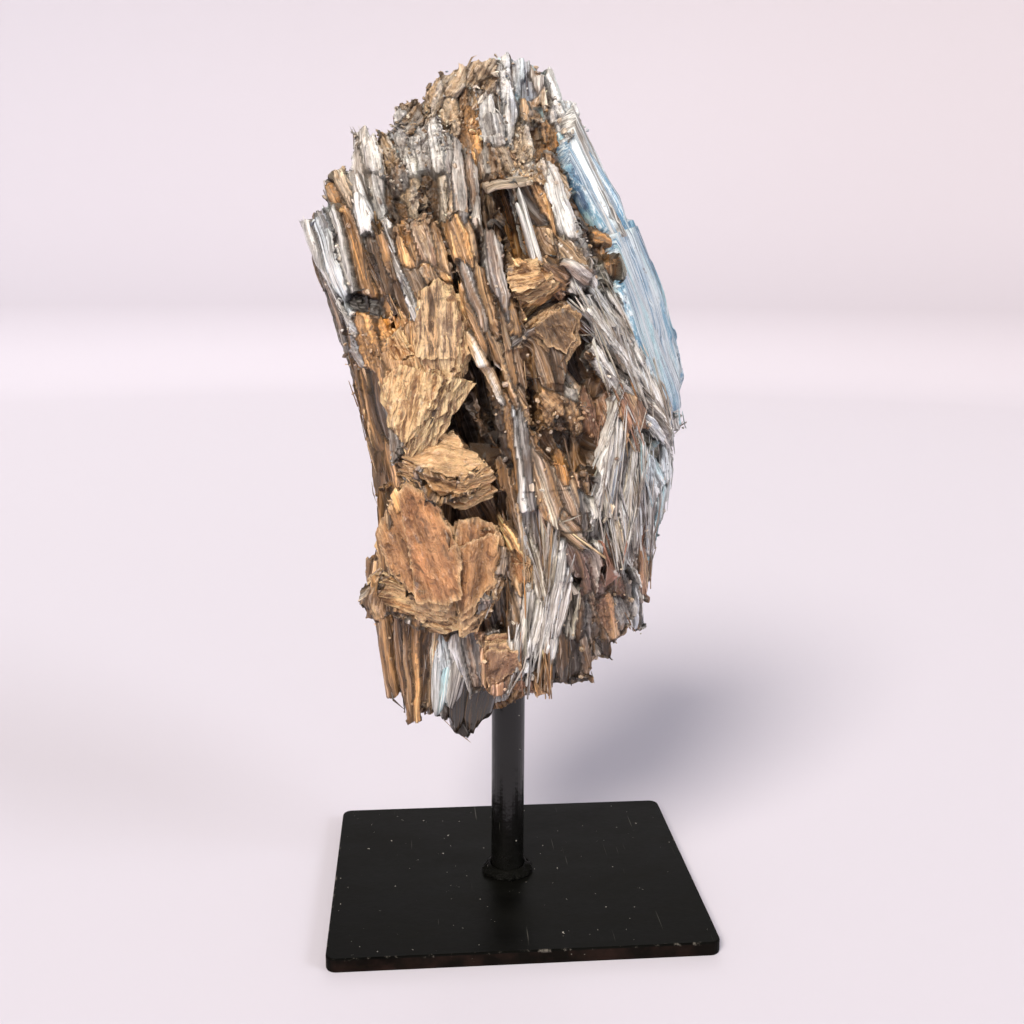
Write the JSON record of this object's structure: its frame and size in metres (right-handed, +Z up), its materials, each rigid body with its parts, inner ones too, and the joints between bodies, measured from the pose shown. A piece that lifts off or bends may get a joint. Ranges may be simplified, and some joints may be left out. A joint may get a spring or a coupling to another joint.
{
  "type": "kyanite specimen on stand",
  "caption": "Upright mass of kyanite blades and mica books, held on a round post welded to a rectangular black steel plate.",
  "frame": {"origin": "centre of the plate's underside", "axes": "+Z up along the post, -Y towards the front of the specimen, +X to the right seen from the front"},
  "size_m": [0.1364, 0.105, 0.2943],
  "materials": {
    "plate_paint": "black satin paint with dust specks, fine scratches and worn edges",
    "post_paint": "black satin paint, slightly lumpy",
    "weld_paint": "black paint over a rough weld",
    "epoxy": "black epoxy putty, a little glossy",
    "stone": "fibrous pearly kyanite from silver to blue, with bronze mica books and crumbly brown matrix"
  },
  "bodies": {
    "root": {"base_plate": "plate_paint", "post": "post_paint", "foot_weld": "weld_paint", "epoxy_collar": "epoxy", "specimen": "stone"}
  },
  "joints": []
}
